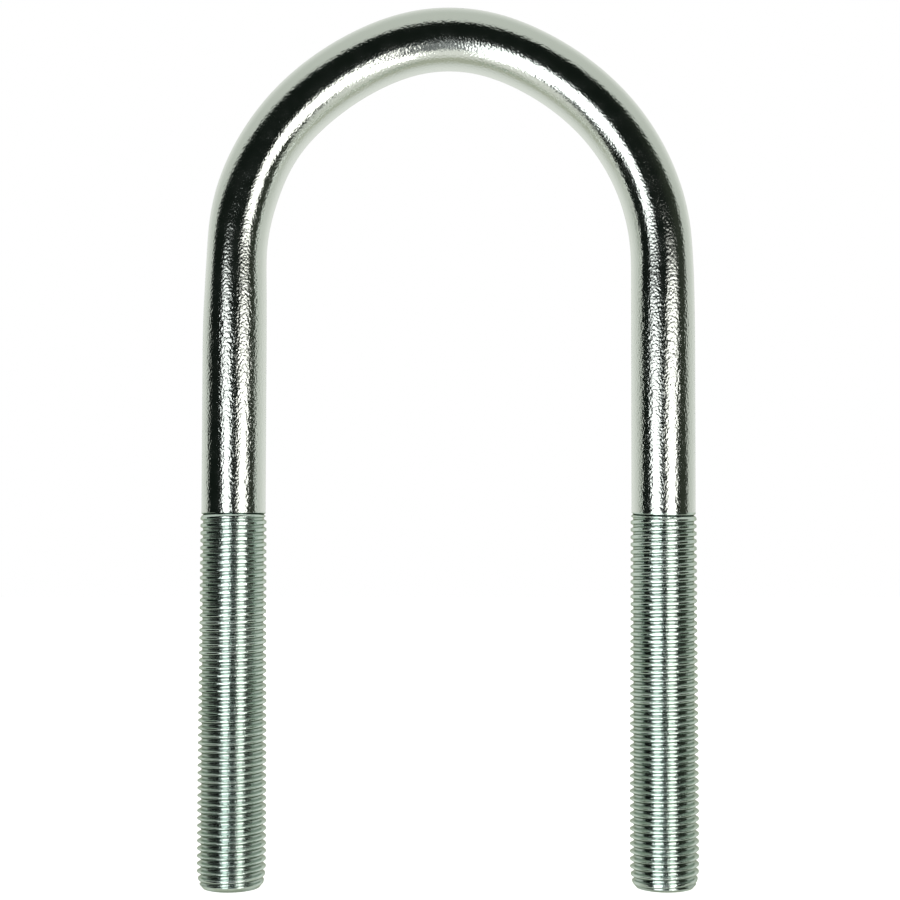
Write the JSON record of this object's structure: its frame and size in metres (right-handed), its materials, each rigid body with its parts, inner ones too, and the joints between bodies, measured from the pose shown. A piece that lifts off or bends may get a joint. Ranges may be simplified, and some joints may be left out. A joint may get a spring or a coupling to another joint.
{
  "type": "u-bolt",
  "caption": "Tall round-bend U-bolt of bright zinc-plated bar, with a long fine thread on each leg, for clamping a pipe or axle tube.",
  "frame": {"origin": "on the axis of the clamped pipe, midway between the legs, at the height where the legs start to bend", "axes": "+X from the left leg to the right leg, +Y along the clamped pipe, +Z from the threaded ends towards the crown of the bend"},
  "size_m": [0.1008, 0.0138, 0.178],
  "materials": {
    "bright_zinc": "bright blue-white zinc plating on drawn bar, glossy with a faint mottle",
    "thread_zinc": "bright zinc plating with a faint green-blue tint in the rolled thread"
  },
  "bodies": {
    "root": {"crown": "bright_zinc", "left_haunch": "bright_zinc", "right_haunch": "bright_zinc", "left_shoulder": "bright_zinc", "right_shoulder": "bright_zinc", "left_shank": "bright_zinc", "right_shank": "bright_zinc", "left_thread": "thread_zinc", "right_thread": "thread_zinc"}
  },
  "joints": []
}
